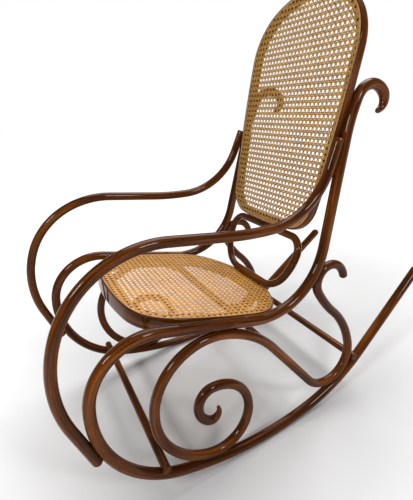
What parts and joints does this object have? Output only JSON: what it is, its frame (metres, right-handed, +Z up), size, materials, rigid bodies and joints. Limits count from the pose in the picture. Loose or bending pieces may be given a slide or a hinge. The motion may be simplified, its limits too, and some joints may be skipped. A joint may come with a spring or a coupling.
{
  "type": "bentwood rocking chair",
  "caption": "Bentwood rocking chair of bent round rods with scrolled sides, curled arms, and a woven cane seat and back.",
  "frame": {"origin": "on the floor, midway between the rockers, under the point where they touch it at rest; the centre of mass is straight above", "axes": "+Z up, -Y is the way the chair faces, +X is the sitter's left"},
  "size_m": [0.5764, 1.094, 1.0907],
  "materials": {
    "beech": "steam-bent beech, stained red-brown and lacquered to a high gloss",
    "cane": "split rattan cane strands, golden, satin",
    "cane_binding": "flat rattan binding cane, golden brown, satin",
    "screw_steel": "blackened slotted wood screws"
  },
  "bodies": {
    "root": {"back_cane_binding": "cane_binding", "back_cane_diagonals_down": "cane", "back_cane_diagonals_up": "cane", "back_cane_rows": "cane", "back_cane_uprights": "cane", "back_frame": "beech", "front_stretcher": "beech", "left_arm": "beech", "left_arm_screws": "screw_steel", "left_back_screw": "screw_steel", "left_loop_rocker": "beech", "left_post_rail": "beech", "left_scarf_screws": "screw_steel", "left_scroll": "beech", "left_scroll_screws": "screw_steel", "left_seat_screws": "screw_steel", "left_stretcher_screws": "screw_steel", "middle_stretcher": "beech", "rear_loop": "beech", "rear_loop_screws": "screw_steel", "rear_stretcher": "beech", "right_arm": "beech", "right_arm_screws": "screw_steel", "right_back_screw": "screw_steel", "right_loop_rocker": "beech", "right_post_rail": "beech", "right_scarf_screws": "screw_steel", "right_scroll": "beech", "right_scroll_screws": "screw_steel", "right_seat_screws": "screw_steel", "right_stretcher_screws": "screw_steel", "seat_cane_binding": "cane_binding", "seat_cane_diagonals_down": "cane", "seat_cane_diagonals_up": "cane", "seat_cane_rows": "cane", "seat_cane_uprights": "cane", "seat_frame": "beech"}
  },
  "joints": []
}
